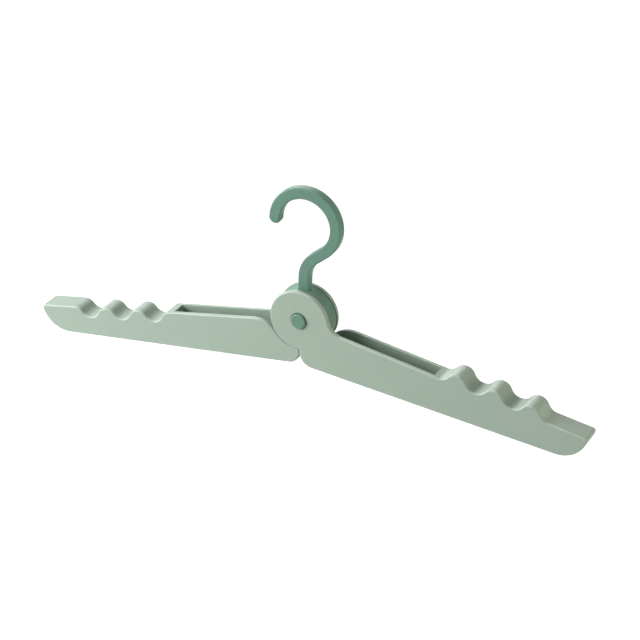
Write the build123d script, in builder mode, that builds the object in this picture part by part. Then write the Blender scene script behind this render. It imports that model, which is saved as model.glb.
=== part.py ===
from build123d import *
from math import cos, radians, sin, tan
import os

# Folding travel hanger. Two channel-shaped arms and a hook turn on one hinge pin.
# Each arm has one ear: the right arm's is in front of the hook's hub, the left arm's behind it.
# Frame: X along the open arms, Y from front to back, Z up.
# The origin is the centre of the hook's curl, where the rail goes through.
os.makedirs("parts", exist_ok=True)

# Hinge
ear_radius = 20.2
ear_thickness = 2.8
hub_step = 0.5
hub_thickness = 10.2
side_gap = 0.3
rim_gap = 0.4
pin_radius = 3.5
pin_play = 0.1
head_radius = 5.1
head_play = 0.4
head_seat_depth = 1.2
head_lift = 0.15
head_proud = 1.1
cap_sink = 0.2
head_bevel = 0.5
cap_stub_radius = 1.8
cap_stub_length = 4.0

# Hook
curl_height = 63.9
curl_radius = 20.8
hook_width = 7.4
hook_thickness = 7.4
hook_round = 1.8
hub_bevel = 0.5
neck_radius = 18.7
stem_root = 12.0
curl_foot_angle = 49.6
curl_tip_angle = 180.6
hook_lean = 1.75

# Arms
arm_reach = 196.0
droop = 9.87
ear_cover = 10.3
tip_depth = 17.95
wall = 2.8
floor_thickness = 1.6
short_wall_step = 0.8
fold_gap = 0.4
butt_gap = 0.3
butt_corner = 9.0
butt_nose = 1.5
ear_fillet = 12.0
nest_fillet = 18.0
tip_slant = 9.0
tip_corner = 2.0
tip_curve = 19.0
edge_bevel = 0.7
seat_chamfer = 0.3
channel_clearance = 5.0
channel_corner = 1.5

# Waves on the upper edge, and the cores under them
wave_count = 3
wave_slope = 59.3
plain_tip = 25.7
rib = 1.6
tip_block = 20.0

overrun = 2.0

# Places worked out from the sizes above
lean = radians(hook_lean)
fall = radians(droop)
slant = radians(tip_slant)
pivot = (-curl_height * sin(lean), 0, -curl_height * cos(lean))
hub_radius = ear_radius - hub_step
ear_inner = hub_thickness / 2 + side_gap
long_face = ear_inner + ear_thickness
short_face = long_face - short_wall_step
seat_level = long_face - head_seat_depth
head_level = seat_level + head_lift
top_line = -fold_gap / 2
root_depth = ear_radius + ear_cover
rise = (root_depth - tip_depth) / arm_reach
hook_reach = curl_height + curl_radius + hook_width / 2
channel_end = hook_reach + channel_clearance
wave_start = channel_end + wall
wave_pitch = (arm_reach - plain_tip - wave_start) / wave_count
wave_radius = wave_pitch / (4 * sin(radians(wave_slope)))

# The hook's plane faces front and leans to the right with the hook.
hook_plane = Plane(origin=pivot, x_dir=(cos(lean), 0, -sin(lean)), z_dir=(0, -1, 0))


# An arm's plane: x runs along the arm from the pin, y is up, z points to the arm's ear side.
def arm_plane(side):
    return Plane(origin=pivot, x_dir=(side * cos(fall), 0, -sin(fall)), z_dir=(0, -side, 0))


# The corner of a line beside the butt face and a line above the underside.
def butt_point(inset, lift):
    depth = root_depth - lift
    reach = (butt_gap / 2 + inset + depth * sin(fall)) / (cos(fall) + rise * sin(fall))
    return (reach, rise * reach - depth)


# The underside, raised by lift, at a distance along the arm.
def underside(reach, lift=0.0):
    return (reach, rise * reach - root_depth + lift)


# The lower corner of the tip, which is slanted like a boat's bow.
def bow_point():
    reach = (arm_reach - (top_line + root_depth) * tan(slant)) / (1 - rise * tan(slant))
    return underside(reach)


# Waves of tangent arcs, drawn from a start point. The radii shrink on crests and grow in dips
# by the same inset, so that the arms' waves lie inside each other all along when folded.
def wave_line(start, first_turn, inset):
    edge = None
    for step in range(2 * wave_count + 1):
        turn = first_turn if step % 2 == 0 else -first_turn
        radius = wave_radius + turn * inset
        half = step in (0, 2 * wave_count)
        size = turn * wave_slope * (1 if half else 2)
        point = start if edge is None else edge @ 1
        heading = (1, 0) if edge is None else edge % 1
        edge = JernArc(start=point, tangent=heading, radius=radius, arc_size=size)
    return edge @ 1


# The side view of an arm without its ear. first_turn is 1 for bumps and -1 for notches.
def draw_bar(first_turn):
    start = (butt_gap / 2 / cos(fall), top_line)
    with BuildLine() as outline:
        Line(start, (wave_start, top_line))
        wave_end = wave_line((wave_start, top_line), first_turn, fold_gap / 2)
        tip = (arm_reach, top_line)
        Polyline(wave_end, tip, bow_point(), butt_point(0, 0), start)
    make_face(outline.edges())


# Rounds the butt's lower corner and the tip, which is shaped like a boat's bow.
def round_bar_ends(sketch):
    for corner, radius in (
        ((arm_reach, top_line), tip_corner),
        (bow_point(), tip_curve),
        (butt_point(0, 0), butt_corner),
    ):
        fillet(sketch.vertices().sort_by_distance(corner)[0], radius)


# A disc round the pin. Its seam is turned away from the arm.
def draw_disc(radius, mode=Mode.ADD):
    with Locations(Location((0, 0, 0), (0, 0, 1), 180)):
        Circle(radius, mode=mode)


# One arm: a long wall with the ear, a short wall cut round the other arm's ear, a channel that
# takes the hook, open at the top, and a wavy end that is cored from below.
def hanger_arm(side, first_turn):
    plane = arm_plane(side)
    clear_radius = ear_radius + rim_gap
    with BuildPart() as arm:
        with BuildSketch(plane.offset(-short_face)) as short_side:
            draw_bar(first_turn)
            round_bar_ends(short_side)
            draw_disc(clear_radius, Mode.SUBTRACT)
            nest_corner = (clear_radius, top_line)
            nose_corner = (clear_radius * sin(fall), -clear_radius * cos(fall))
            fillet(short_side.vertices().sort_by_distance(nest_corner)[0], nest_fillet)
            fillet(short_side.vertices().sort_by_distance(nose_corner)[0], butt_nose)
        extrude(amount=short_face + ear_inner)
        with BuildSketch(plane.offset(ear_inner)) as long_side:
            draw_bar(first_turn)
            round_bar_ends(long_side)
            draw_disc(ear_radius)
            ear_corner = (ear_radius, top_line)
            fillet(long_side.vertices().sort_by_distance(ear_corner)[0], ear_fillet)
        extrude(amount=ear_thickness)

        # The channel, closed below and at both ends
        with BuildSketch(plane.offset(wall - short_face)) as channel:
            high = ear_radius + overrun
            with BuildLine():
                Polyline(
                    butt_point(wall, floor_thickness),
                    underside(channel_end, floor_thickness),
                    (channel_end, high),
                    (0, high),
                    ((butt_gap / 2 + wall) / cos(fall), 0),
                    close=True,
                )
            make_face()
            low_end = underside(channel_end, floor_thickness)
            fillet(channel.vertices().sort_by_distance(low_end)[0], channel_corner)
        extrude(amount=short_face + long_face - 2 * wall, mode=Mode.SUBTRACT)

        # The cores under the waves, divided by ribs and open below
        with BuildSketch(plane.offset(wall - short_face)):
            core_end = arm_reach - tip_block
            roof = top_line - wall
            with BuildLine():
                wave_end = wave_line((wave_start, roof), first_turn, fold_gap / 2 + wall)
                Polyline(
                    wave_end,
                    (core_end, roof),
                    underside(core_end, -overrun),
                    underside(wave_start, -overrun),
                    (wave_start, roof),
                )
            make_face()
            for wave in range(1, wave_count + 1):
                with Locations((wave_start + wave * wave_pitch, -root_depth / 2)):
                    Rectangle(rib, 2 * root_depth, mode=Mode.SUBTRACT)
        extrude(amount=short_face + long_face - 2 * wall, mode=Mode.SUBTRACT)

        # The ear, its pin hole and the seat of the pin's head
        with BuildSketch(plane.offset(ear_inner)):
            draw_disc(ear_radius)
        extrude(amount=ear_thickness)
        with BuildSketch(plane.offset(ear_inner - overrun)):
            Circle(pin_radius + pin_play)
        extrude(amount=ear_thickness + 2 * overrun, mode=Mode.SUBTRACT)
        across = arm.faces().filter_by(Axis.Y).sort_by(Axis.Y)
        for outer_face in (across[0], across[-1]):
            chamfer(outer_face.outer_wire().edges(), edge_bevel)
        with BuildSketch(plane.offset(seat_level)):
            Circle(head_radius + head_play)
        extrude(amount=head_seat_depth + overrun, mode=Mode.SUBTRACT)
        ear_face = arm.faces().filter_by(Axis.Y).sort_by(Axis.Y)[0 if side > 0 else -1]
        chamfer(ear_face.inner_wires().edges(), seat_chamfer)
    return arm


right_arm = hanger_arm(1, 1)
right_arm.part.label = "right_arm"
export_step(right_arm.part, "parts/right_arm.step")

left_arm = hanger_arm(-1, -1)
left_arm.part.label = "left_arm"
export_step(left_arm.part, "parts/left_arm.step")

# The hook: a disc between the ears, a straight stem, a neck and a round curl. Its outline goes
# up the left side, round the tip and back down the other side.
foot = radians(curl_foot_angle)
half_width = hook_width / 2
foot_point = (curl_radius * cos(foot), curl_height - curl_radius * sin(foot))
neck_tangent = neck_radius * tan(foot / 2)
neck_run = foot_point[0] / sin(foot) - neck_tangent
neck_start = foot_point[1] - foot_point[0] / tan(foot) - neck_tangent
curl_turn = curl_foot_angle + curl_tip_angle
with BuildPart() as hook:
    with BuildSketch(hook_plane.offset(-hook_thickness / 2)):
        with BuildLine():
            rise_line = Line((-half_width, stem_root), (-half_width, neck_start))
            neck = JernArc(rise_line @ 1, rise_line % 1, neck_radius + half_width, -curl_foot_angle)
            slope = Line(neck @ 1, neck @ 1 + neck % 1 * neck_run)
            inside = JernArc(slope @ 1, slope % 1, curl_radius - half_width, curl_turn)
            tip = JernArc(inside @ 1, inside % 1, half_width, -180)
            outside = JernArc(tip @ 1, tip % 1, curl_radius + half_width, -curl_turn)
            back_slope = Line(outside @ 1, outside @ 1 + outside % 1 * neck_run)
            throat = JernArc(back_slope @ 1, back_slope % 1, neck_radius - half_width, curl_foot_angle)
            Polyline(throat @ 1, (half_width, stem_root), (-half_width, stem_root))
        make_face()
    extrude(amount=hook_thickness)
    flats = hook.faces().filter_by(Axis.Y)
    fillet(flats.edges(), hook_round)
    with BuildSketch(hook_plane.offset(-hub_thickness / 2)):
        Circle(hub_radius)
    extrude(amount=hub_thickness)
    hub_faces = hook.faces().filter_by(Axis.Y).sort_by(Axis.Y)
    for hub_face in (hub_faces[0], hub_faces[-1]):
        chamfer(hub_face.outer_wire().edges(), hub_bevel)
    with BuildSketch(hook_plane.offset(-hub_thickness)):
        Circle(pin_radius)
    extrude(amount=2 * hub_thickness, mode=Mode.SUBTRACT)
hook.part.label = "hook"
export_step(hook.part, "parts/hook.step")

# The pin: a head in the front ear's seat and a barrel pressed into the hub.
with BuildPart() as pivot_pin:
    with BuildSketch(hook_plane.offset(-head_level)):
        Circle(pin_radius)
    extrude(amount=2 * head_level)
    with BuildSketch(hook_plane.offset(head_level)):
        Circle(head_radius)
    extrude(amount=long_face + head_proud - head_level)
    front = pivot_pin.faces().sort_by(Axis.Y)[0]
    chamfer(front.edges(), head_bevel)
    with BuildSketch(hook_plane.offset(-head_level)):
        Circle(cap_stub_radius)
    extrude(amount=cap_stub_length + head_lift, mode=Mode.SUBTRACT)
pivot_pin.part.label = "pivot_pin"
export_step(pivot_pin.part, "parts/pivot_pin.step")

# The cap: the pin's rear head, with a stub pressed into the barrel.
with BuildPart() as pin_cap:
    with BuildSketch(hook_plane.offset(-head_level)):
        Circle(head_radius)
    extrude(amount=head_level - long_face + cap_sink)
    rear = pin_cap.faces().sort_by(Axis.Y)[-1]
    chamfer(rear.edges(), head_bevel)
    with BuildSketch(hook_plane.offset(-head_level)):
        Circle(cap_stub_radius)
    extrude(amount=cap_stub_length)
pin_cap.part.label = "pin_cap"
export_step(pin_cap.part, "parts/pin_cap.step")
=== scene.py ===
from math import cos, radians, sin, tan

import bmesh
import bpy
from mathutils import Matrix, Vector


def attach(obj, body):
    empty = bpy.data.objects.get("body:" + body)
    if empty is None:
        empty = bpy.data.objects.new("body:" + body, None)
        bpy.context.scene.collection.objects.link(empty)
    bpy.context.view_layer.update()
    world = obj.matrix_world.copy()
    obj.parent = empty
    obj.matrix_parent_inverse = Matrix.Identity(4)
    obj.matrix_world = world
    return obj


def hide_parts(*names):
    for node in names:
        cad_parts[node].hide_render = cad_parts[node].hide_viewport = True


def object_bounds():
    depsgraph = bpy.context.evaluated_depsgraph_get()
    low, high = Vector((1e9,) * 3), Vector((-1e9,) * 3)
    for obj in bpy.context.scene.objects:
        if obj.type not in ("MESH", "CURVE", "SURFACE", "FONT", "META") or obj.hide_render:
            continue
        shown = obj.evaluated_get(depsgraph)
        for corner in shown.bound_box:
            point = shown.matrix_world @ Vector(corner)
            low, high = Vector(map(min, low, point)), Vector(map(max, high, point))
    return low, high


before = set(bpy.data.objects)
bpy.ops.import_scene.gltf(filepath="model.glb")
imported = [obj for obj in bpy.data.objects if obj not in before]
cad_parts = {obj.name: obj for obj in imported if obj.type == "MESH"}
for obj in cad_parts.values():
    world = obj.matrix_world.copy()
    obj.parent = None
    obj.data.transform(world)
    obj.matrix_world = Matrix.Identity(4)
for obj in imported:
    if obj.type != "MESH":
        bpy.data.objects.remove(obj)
cad_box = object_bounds()


# The camera stands to the right of the hanger's front and looks down on it through a long lens.
# The lens is given by its focal length on a 36 mm wide film, and places are in metres.
AIM = Vector((0.008816, 0.0, -0.064300))
AZIMUTH, ELEVATION, ROLL = radians(27.307), radians(28.016), radians(-0.354)
DISTANCE = 1.37178
FILM_WIDTH, FOCAL_LENGTH = 36.0, 124.235
NEAREST, FURTHEST = 0.05, 50.0
back = Vector((sin(AZIMUTH) * cos(ELEVATION), -cos(AZIMUTH) * cos(ELEVATION), sin(ELEVATION)))
level = Vector((cos(AZIMUTH), sin(AZIMUTH), 0.0))
upright = back.cross(level)
right = level * cos(ROLL) + upright * sin(ROLL)
up = upright * cos(ROLL) - level * sin(ROLL)
lens = bpy.data.cameras.new("camera")
lens.sensor_width, lens.lens = FILM_WIDTH, FOCAL_LENGTH
lens.clip_start, lens.clip_end = NEAREST, FURTHEST
camera = bpy.data.objects.new("camera", lens)
camera.matrix_world = Matrix.Translation(AIM + back * DISTANCE) @ Matrix(
    (right, up, back)).transposed().to_4x4()
bpy.context.scene.collection.objects.link(camera)
bpy.context.scene.camera = camera
bpy.context.scene.view_settings.view_transform = "Standard"


# The studio has two soft boxes at the left, one high and one level with the hanger, and weak ones in
# front, behind, at the right and above. A small lamp in front and above shows in the gloss only: it
# draws the light lines along rounded edges. A lamp's place is in degrees to the right of the front
# and degrees up, and its power in watts.
LAMP_DISTANCE = 1.1
SOFT_BOX_SIZE, EDGE_LAMP_SIZE = 0.6, 0.25
LAMPS = (
    ("left_high_box", -66, 27, 12.0, (1.0, 1.0, 1.02)),
    ("left_level_box", -68, 0, 5.0, (1.0, 1.0, 1.02)),
    ("front_fill", 0, 5, 2.3, (1.0, 1.0, 0.94)),
    ("back_left_rim_light", -155, 20, 3.3, (1.0, 1.0, 1.0)),
    ("right_fill", 95, 1, 5.6, (1.0, 0.93, 0.81)),
    ("top_fill", 0, 85, 3.5, (1.0, 0.94, 0.91)),
    ("edge_lamp", -10, 50, 7.0, (1.0, 1.0, 0.97)),
)
for name, bearing, height, watts, tint in LAMPS:
    bearing, height = radians(bearing), radians(height)
    outward = Vector((sin(bearing) * cos(height), -cos(bearing) * cos(height), sin(height)))
    light = bpy.data.lights.new(name, "AREA")
    light.shape, light.energy, light.color = "SQUARE", watts, tint
    light.size = EDGE_LAMP_SIZE if name == "edge_lamp" else SOFT_BOX_SIZE
    lamp = bpy.data.objects.new(name, light)
    lamp.matrix_world = Matrix.Translation(
        AIM + outward * LAMP_DISTANCE) @ outward.to_track_quat("Z", "Y").to_matrix().to_4x4()
    lamp.visible_diffuse = name != "edge_lamp"
    bpy.context.scene.collection.objects.link(lamp)


# The room is plain white. The camera sees it at full strength and the gloss of the plastic a little
# less, and it gives the hanger no other light.
WHITE = (1.0, 1.0, 1.0, 1.0)
ROOM_GLOSS = 0.84


# Adds one node with its settings and links. An input goes by its label, with _ for a space, or by its
# number as i0, i1 and so on. A value that is a node's output is linked.
def add_node(tree, kind, settings=None, **inputs):
    node = tree.nodes.new(kind)
    for name, value in (settings or {}).items():
        setattr(node, name, value)
    for name, value in inputs.items():
        key = int(name[1:]) if name[0] == "i" and name[1:].isdigit() else name.replace("_", " ")
        if isinstance(value, bpy.types.NodeSocket):
            tree.links.new(value, node.inputs[key])
        else:
            node.inputs[key].default_value = value
    return node


room = bpy.data.worlds.new("white_room")
room.use_nodes = True
bpy.context.scene.world = room
air = room.node_tree
air.nodes.clear()
seen = add_node(air, "ShaderNodeLightPath")
in_gloss = add_node(
    air, "ShaderNodeMath", {"operation": "MULTIPLY"}, i0=seen.outputs["Is Glossy Ray"], i1=ROOM_GLOSS)
strength = add_node(
    air, "ShaderNodeMath", {"operation": "MAXIMUM"}, i0=seen.outputs["Is Camera Ray"],
    i1=in_gloss.outputs[0])
sky = add_node(air, "ShaderNodeBackground", Color=WHITE, Strength=strength.outputs[0])
add_node(air, "ShaderNodeOutputWorld", Surface=sky.outputs[0])


# The floor is a wide pale sheet well below the hanger, which hangs from a rail. It is lit white for
# the camera, a little more strongly where the lamps don't reach, and keeps the hanger's soft shadow.
# From below it can be looked through.
FLOOR_COLOUR = "#f4f4f2"
FLOOR_DROP = 0.55
FLOOR_HALF = 6.0
FLOOR_GLOSS = 0.5
FLOOR_GLOW_NEAR, FLOOR_GLOW_FAR = 0.85, 1.0
LIT_RADIUS, DARK_RADIUS = 0.8, 2.2


# Turns an sRGB hex colour to linear.
def linear(code):
    shares = [int(code[i:i + 2], 16) / 255 for i in (1, 3, 5)]
    return tuple(c / 12.92 if c <= 0.04045 else ((c + 0.055) / 1.055) ** 2.4 for c in shares) + (1.0,)


floor_mesh = bpy.data.meshes.new("floor")
low = cad_box[0][2] - FLOOR_DROP
floor_mesh.from_pydata(
    [(x * FLOOR_HALF, y * FLOOR_HALF, low) for x, y in ((-1, -1), (1, -1), (1, 1), (-1, 1))],
    [], [(0, 1, 2, 3)])
floor = bpy.data.objects.new("floor", floor_mesh)
bpy.context.scene.collection.objects.link(floor)
paper = bpy.data.materials.new("white_paper")
paper.use_nodes = True
sheet = paper.node_tree
sheet.nodes.clear()
matt = add_node(sheet, "ShaderNodeBsdfDiffuse", Color=linear(FLOOR_COLOUR))
seen = add_node(sheet, "ShaderNodeLightPath")
spot = add_node(sheet, "ShaderNodeTexCoord")
away = add_node(sheet, "ShaderNodeVectorMath", {"operation": "LENGTH"}, i0=spot.outputs["Object"])
for_camera = add_node(
    sheet, "ShaderNodeMapRange", Value=away.outputs["Value"], From_Min=LIT_RADIUS,
    From_Max=DARK_RADIUS, To_Min=FLOOR_GLOW_NEAR, To_Max=FLOOR_GLOW_FAR)
in_gloss = add_node(
    sheet, "ShaderNodeMath", {"operation": "MULTIPLY"}, i0=seen.outputs["Is Glossy Ray"],
    i1=FLOOR_GLOSS)
glow_level = add_node(
    sheet, "ShaderNodeMath", {"operation": "MULTIPLY_ADD"}, i0=seen.outputs["Is Camera Ray"],
    i1=for_camera.outputs[0], i2=in_gloss.outputs[0])
glow = add_node(sheet, "ShaderNodeEmission", Strength=glow_level.outputs[0])
lit = add_node(sheet, "ShaderNodeAddShader", i0=matt.outputs[0], i1=glow.outputs[0])
side_seen = add_node(sheet, "ShaderNodeNewGeometry")
clear = add_node(sheet, "ShaderNodeBsdfTransparent")
one_way = add_node(
    sheet, "ShaderNodeMixShader", i0=side_seen.outputs["Backfacing"], i1=lit.outputs[0],
    i2=clear.outputs[0])
add_node(sheet, "ShaderNodeOutputMaterial", Surface=one_way.outputs[0])
floor_mesh.materials.append(paper)


# The two arms are moulded from polypropylene in a pale sage green, each in one piece with its ear,
# which turns on the hinge pin. The right arm has bumps along its top, and the left arm the notches
# that they lie in when the hanger is folded. The mould rounds off every outer corner.
ARM_CORNER_MM, ARM_CHAMFER_MM = 0.25, 0.12
ROUNDING_STEPS = 3
# An edge is sharp from one angle up, and a square corner, not a chamfer's side, from the other up.
SHARP_ANGLE, SQUARE_ANGLE = radians(32), radians(65)
# Faces that lie in one plane within this angle are one face.
FLAT_ANGLE = radians(0.3)
# In metres: points this near to each other are one point, in a piece and at the seams made later.
JOIN_WITHIN, JOIN_SEAMS_WITHIN = 1e-6, 2e-6


# A moulded plastic: fine spark-eroded grain, faint flow clouds in the colour, and a satin gloss
# that changes a little from place to place. Grain and clouds are sized in millimetres.
def moulded_plastic(
        name, colour, cloud_colour, cloud_mm, grain_mm, grain_height_mm, roughness, shine):
    smoother, rougher = 0.05, 0.06
    finish = bpy.data.materials.new(name)
    finish.use_nodes = True
    tree = finish.node_tree
    tree.nodes.clear()
    place = add_node(tree, "ShaderNodeTexCoord")
    clouds = add_node(
        tree, "ShaderNodeTexNoise", Vector=place.outputs["Object"], Scale=1000.0 / cloud_mm,
        Detail=3.0, Roughness=0.55)
    tint = add_node(
        tree, "ShaderNodeMix", {"data_type": "RGBA"}, i0=clouds.outputs["Fac"], i6=linear(colour),
        i7=linear(cloud_colour))
    grain = add_node(
        tree, "ShaderNodeTexNoise", Vector=place.outputs["Object"], Scale=1000.0 / grain_mm,
        Detail=2.0, Roughness=0.6)
    relief = add_node(
        tree, "ShaderNodeBump", Height=grain.outputs["Fac"], Strength=0.35,
        Distance=grain_height_mm / 1000.0)
    gloss = add_node(
        tree, "ShaderNodeMapRange", Value=clouds.outputs["Fac"], To_Min=roughness - smoother,
        To_Max=roughness + rougher)
    plastic = add_node(
        tree, "ShaderNodeBsdfPrincipled", Base_Color=tint.outputs["Result"], IOR=1.49,
        Roughness=gloss.outputs[0], Specular_IOR_Level=shine, Normal=relief.outputs[0])
    add_node(tree, "ShaderNodeOutputMaterial", Surface=plastic.outputs[0])
    return finish


# Marks a piece's sharp edges, and lets its shading run smoothly over all others.
def mark_sharp_edges(work):
    for edge in work.edges:
        edge.smooth = edge.calc_face_angle(0.0) < SHARP_ANGLE
    for face in work.faces:
        face.smooth = True


# Turns what a piece's modifiers do into plain mesh.
def set_modifiers(piece):
    whole = bpy.data.meshes.new_from_object(piece.evaluated_get(bpy.context.evaluated_depsgraph_get()))
    piece.modifiers.clear()
    piece.data = whole
    whole.name = piece.name


# Joins the points that meet at seams, so that no sliver of a face is left there.
def close_slivers(work):
    bmesh.ops.remove_doubles(work, verts=work.verts, dist=JOIN_SEAMS_WITHIN)
    bmesh.ops.dissolve_degenerate(work, dist=JOIN_SEAMS_WITHIN, edges=work.edges)


# Shades a piece so that its flat faces look flat and its roundings round, and sharp edges stay sharp.
def shade_evenly(piece):
    even = piece.modifiers.new("even_shading", "WEIGHTED_NORMAL")
    even.keep_sharp = True
    set_modifiers(piece)


# A finished copy stands for a CAD node. Its loose triangles are joined, and each outer corner is
# rounded like the mould's: a square corner by corner_mm, and both sides of a chamfer by chamfer_mm.
def finished_copy(name, corner_mm, chamfer_mm):
    work = bmesh.new()
    work.from_mesh(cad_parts[name].data)
    bmesh.ops.remove_doubles(work, verts=work.verts, dist=JOIN_WITHIN)
    bmesh.ops.dissolve_limit(work, angle_limit=FLAT_ANGLE, verts=work.verts, edges=work.edges)
    weight = work.edges.layers.float.new("bevel_weight_edge")
    for edge in work.edges:
        turn = edge.calc_face_angle_signed(0.0)
        if turn > SQUARE_ANGLE:
            edge[weight] = 1.0
        elif turn > SHARP_ANGLE:
            edge[weight] = chamfer_mm / corner_mm
    mark_sharp_edges(work)
    mesh = bpy.data.meshes.new(name + "_shape")
    work.to_mesh(mesh)
    work.free()
    if "custom_normal" in mesh.attributes:
        mesh.attributes.remove(mesh.attributes["custom_normal"])
    piece = bpy.data.objects.new(name + "_finish", mesh)
    bpy.context.scene.collection.objects.link(piece)
    rounding = piece.modifiers.new("rounding", "BEVEL")
    rounding.limit_method = "WEIGHT"
    rounding.width, rounding.segments = corner_mm / 1000, ROUNDING_STEPS
    rounding.use_clamp_overlap = False
    rounding.miter_outer = "MITER_ARC"
    set_modifiers(piece)
    work = bmesh.new()
    work.from_mesh(piece.data)
    close_slivers(work)
    work.to_mesh(piece.data)
    work.free()
    shade_evenly(piece)
    return piece


# Polypropylene is a little waxy. The mould's light grain makes it satin and not wet to the eye, and
# the flow of the melt leaves clouds that hardly show.
sage_polypropylene = moulded_plastic(
    "moulded_polypropylene_pale_sage", colour="#acbfb0", cloud_colour="#a6baaa", cloud_mm=35.0,
    grain_mm=0.35, grain_height_mm=0.012, roughness=0.43, shine=0.5)
for name in ("right_arm", "left_arm"):
    arm = finished_copy(name, ARM_CORNER_MM, ARM_CHAMFER_MM)
    arm.data.materials.append(sage_polypropylene)
    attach(arm, name)
    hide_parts(name)


# The hook is one moulding in a stiffer plastic, mid green: a flat bar with softly rounded edges that
# rises from a disc, bends at the neck and curls round the rail to a rounded tip. The disc turns
# between the arms' ears. Sizes are in millimetres, in the hook's own plane, from the pin's centre.
CURL_HEIGHT, CURL_RADIUS, NECK_RADIUS = 63.9, 20.8, 18.7
FOOT_ANGLE, TIP_ANGLE, LEAN = radians(49.6), radians(180.6), radians(1.75)
BAR_WIDTH, BAR_THICKNESS, BAR_ROUND, TIP_ROUND = 7.4, 6.0, 0.8, 1.9
STEM_ROOT, DISC_RADIUS, DISC_THICKNESS, DISC_ROUND, PIN_RADIUS = 12.0, 19.7, 10.2, 0.5, 3.5
slope_run = CURL_RADIUS / tan(FOOT_ANGLE) - NECK_RADIUS * tan(FOOT_ANGLE / 2)
neck_start = CURL_HEIGHT - CURL_RADIUS / sin(FOOT_ANGLE) - NECK_RADIUS * tan(FOOT_ANGLE / 2)
# How finely the round parts are divided.
BEND_STEP, STRAIGHT_STEPS = radians(2.5), 4
EDGE_STEPS, TIP_STEPS, RIM_STEPS, DISC_STEPS = 5, 18, 4, 120
# In metres: a face narrower than this has no width.
NO_WIDTH = 1e-7

pin_centre = Vector((-CURL_HEIGHT * sin(LEAN), 0.0, -CURL_HEIGHT * cos(LEAN)))
across, upward = Vector((cos(LEAN), 0.0, -sin(LEAN))), Vector((sin(LEAN), 0.0, cos(LEAN)))


# The place in metres of a point in the hook's plane, and behind that plane by back.
def in_hook_plane(x, y, back):
    return (pin_centre + across * x + upward * y + Vector((0.0, back, 0.0))) / 1000


# Half of the bar's section, from the middle of its front over the edge to the middle of its back.
def half_section(round_mm):
    reach, depth = BAR_WIDTH / 2 - round_mm, BAR_THICKNESS / 2 - round_mm
    line = [(0.0, -BAR_THICKNESS / 2)]
    for middle, start in ((-depth, -90), (depth, 0)):
        angles = [radians(start + 90 * i / EDGE_STEPS) for i in range(EDGE_STEPS + 1)]
        line += [(reach + round_mm * cos(a), middle + round_mm * sin(a)) for a in angles]
    return line + [(0.0, BAR_THICKNESS / 2)]


# The bar's centre line, as places with their headings: up the stem, round the neck to the right,
# up the slope and round the curl to the left. A round stretch is walked in chords of its circle.
place, heading = Vector((0.0, STEM_ROOT)), radians(90)
stations = [(place.copy(), heading)]
for run, turn in (
    (neck_start - STEM_ROOT, 0.0), (NECK_RADIUS * FOOT_ANGLE, -FOOT_ANGLE), (slope_run, 0.0),
    (CURL_RADIUS * (FOOT_ANGLE + TIP_ANGLE), FOOT_ANGLE + TIP_ANGLE),
):
    steps = max(1, round(abs(turn) / BEND_STEP)) if turn else STRAIGHT_STEPS
    half_turn = turn / steps / 2
    chord = run / steps * sin(half_turn) / half_turn if turn else run / steps
    for step in range(steps):
        heading += half_turn
        place = place + Vector((cos(heading), sin(heading))) * chord
        heading += half_turn
        stations.append((place.copy(), heading))

bar = bmesh.new()
rings = []
for place, heading in stations:
    side = Vector((sin(heading), -cos(heading)))
    half = half_section(BAR_ROUND)
    outline = half + [(-u, v) for u, v in half[-2:0:-1]]
    rings.append([bar.verts.new(in_hook_plane(*(place + side * u), v)) for u, v in outline])
for near, far in zip(rings, rings[1:]):
    for i in range(len(near)):
        j = (i + 1) % len(near)
        bar.faces.new((near[i], near[j], far[j], far[i]))
bar.faces.new(rings[0][::-1])
# The tip goes round in a half turn, and is rounder at its end than the bar is along its sides.
place, heading = stations[-1]
fans = []
for i in range(TIP_STEPS + 1):
    turn = radians(180 * i / TIP_STEPS)
    side = Vector((cos(heading - radians(90) + turn), sin(heading - radians(90) + turn)))
    half = half_section(BAR_ROUND + (TIP_ROUND - BAR_ROUND) * sin(turn))
    fans.append([bar.verts.new(in_hook_plane(*(place + side * u), v)) for u, v in half])
for near, far in zip(fans, fans[1:]):
    for i in range(len(near) - 1):
        bar.faces.new((near[i], near[i + 1], far[i + 1], far[i]))
bmesh.ops.remove_doubles(bar, verts=bar.verts, dist=JOIN_WITHIN)
bmesh.ops.dissolve_degenerate(bar, dist=NO_WIDTH, edges=bar.edges)
bmesh.ops.recalc_face_normals(bar, faces=bar.faces)

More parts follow.
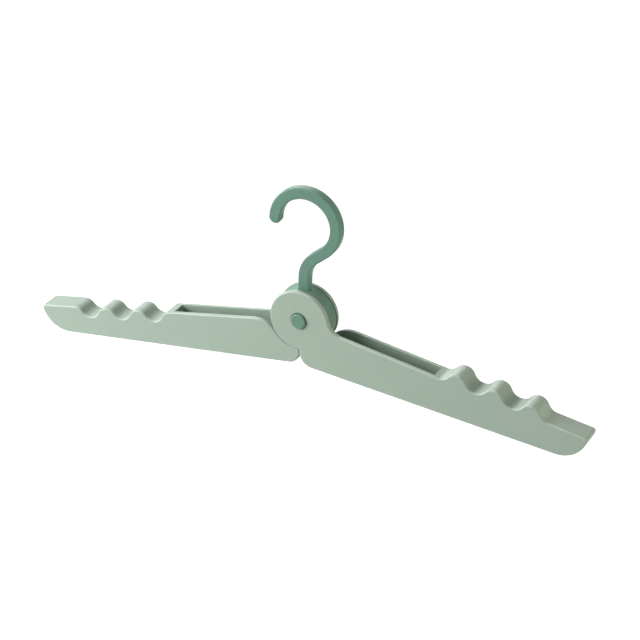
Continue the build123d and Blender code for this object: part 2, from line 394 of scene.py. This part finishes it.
# The disc is turned from its profile: the hole for the pin, the flat faces and a rounded rim.
flat, rim = DISC_THICKNESS / 2 - DISC_ROUND, DISC_RADIUS - DISC_ROUND
profile = [(PIN_RADIUS, -DISC_THICKNESS / 2)]
for middle, start in ((-flat, -90), (flat, 0)):
    angles = [radians(start + 90 * i / RIM_STEPS) for i in range(RIM_STEPS + 1)]
    profile += [(rim + DISC_ROUND * cos(a), middle + DISC_ROUND * sin(a)) for a in angles]
profile.append((PIN_RADIUS, DISC_THICKNESS / 2))
disc = bmesh.new()
spokes = []
for i in range(DISC_STEPS):
    angle = radians(360 * i / DISC_STEPS)
    spokes.append(
        [disc.verts.new(in_hook_plane(r * cos(angle), r * sin(angle), v)) for r, v in profile])
for near, far in zip(spokes, spokes[1:] + spokes[:1]):
    for i in range(len(profile)):
        j = (i + 1) % len(profile)
        disc.faces.new((near[i], near[j], far[j], far[i]))
bmesh.ops.recalc_face_normals(disc, faces=disc.faces)

solids = []
for name, work in (("hook_finish", bar), ("hook_disc", disc)):
    mesh = bpy.data.meshes.new(name)
    work.to_mesh(mesh)
    work.free()
    solids.append(bpy.data.objects.new(name, mesh))
    bpy.context.scene.collection.objects.link(solids[-1])
hook, hook_disc = solids
joined = hook.modifiers.new("joined", "BOOLEAN")
joined.operation, joined.solver, joined.object = "UNION", "EXACT", hook_disc
set_modifiers(hook)
bpy.data.objects.remove(hook_disc)
work = bmesh.new()
work.from_mesh(hook.data)
close_slivers(work)
mark_sharp_edges(work)
work.to_mesh(hook.data)
work.free()
shade_evenly(hook)

# ABS is stiffer, and takes the mould's grain a little more finely than the arms' plastic. Its shine
# is weaker and its clouds are smaller.
green_abs = moulded_plastic(
    "moulded_abs_mid_green", colour="#6f9785", cloud_colour="#68907e", cloud_mm=25.0,
    grain_mm=0.35, grain_height_mm=0.01, roughness=0.4, shine=0.33)
hook.data.materials.append(green_abs)
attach(hook, "hook_unit")
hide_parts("hook")


# The hinge pin is moulded from the hook's plastic. Its head lies in the front ear, and its barrel
# runs through the ears and is pressed into the disc, so it turns with the hook. The cap is pressed
# into the barrel's rear end, and keeps the arms on the pin.
PIN_CORNER_MM, PIN_CHAMFER_MM = 0.2, 0.18
for name in ("pivot_pin", "pin_cap"):
    piece = finished_copy(name, PIN_CORNER_MM, PIN_CHAMFER_MM)
    piece.data.materials.append(green_abs)
    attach(piece, "hook_unit")
    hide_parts(name)
